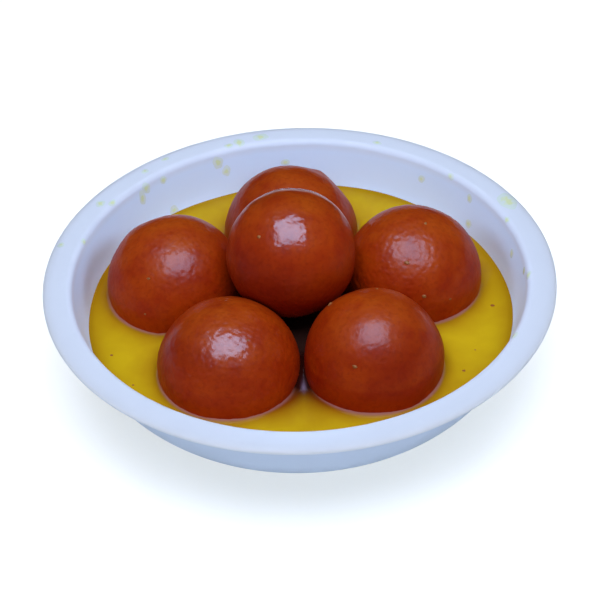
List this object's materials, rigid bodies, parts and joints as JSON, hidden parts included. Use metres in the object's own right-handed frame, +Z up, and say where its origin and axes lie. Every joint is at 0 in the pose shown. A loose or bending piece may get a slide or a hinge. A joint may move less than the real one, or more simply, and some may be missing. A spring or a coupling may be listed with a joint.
{
  "type": "bowl of gulab jamun",
  "caption": "Round white bowl of fried milk-dough balls steeped in saffron sugar syrup, a served sweet that stands on a table.",
  "frame": {"origin": "centre of the bowl's foot ring, in the plane it stands on", "axes": "+Z up, -Y towards the front ball pair, +X to the right seen from the front"},
  "size_m": [0.152, 0.152, 0.0614],
  "materials": {
    "bowl": "smooth moulded, bluish white",
    "syrup": "wet, clear saffron yellow",
    "jamun": "fried brown crust, wet with syrup"
  },
  "bodies": {
    "root": {"bowl": "bowl", "syrup": "syrup", "jamun_front_left": "jamun", "jamun_front_right": "jamun", "jamun_left": "jamun", "jamun_right": "jamun", "jamun_back": "jamun", "jamun_top": "jamun"}
  },
  "joints": []
}
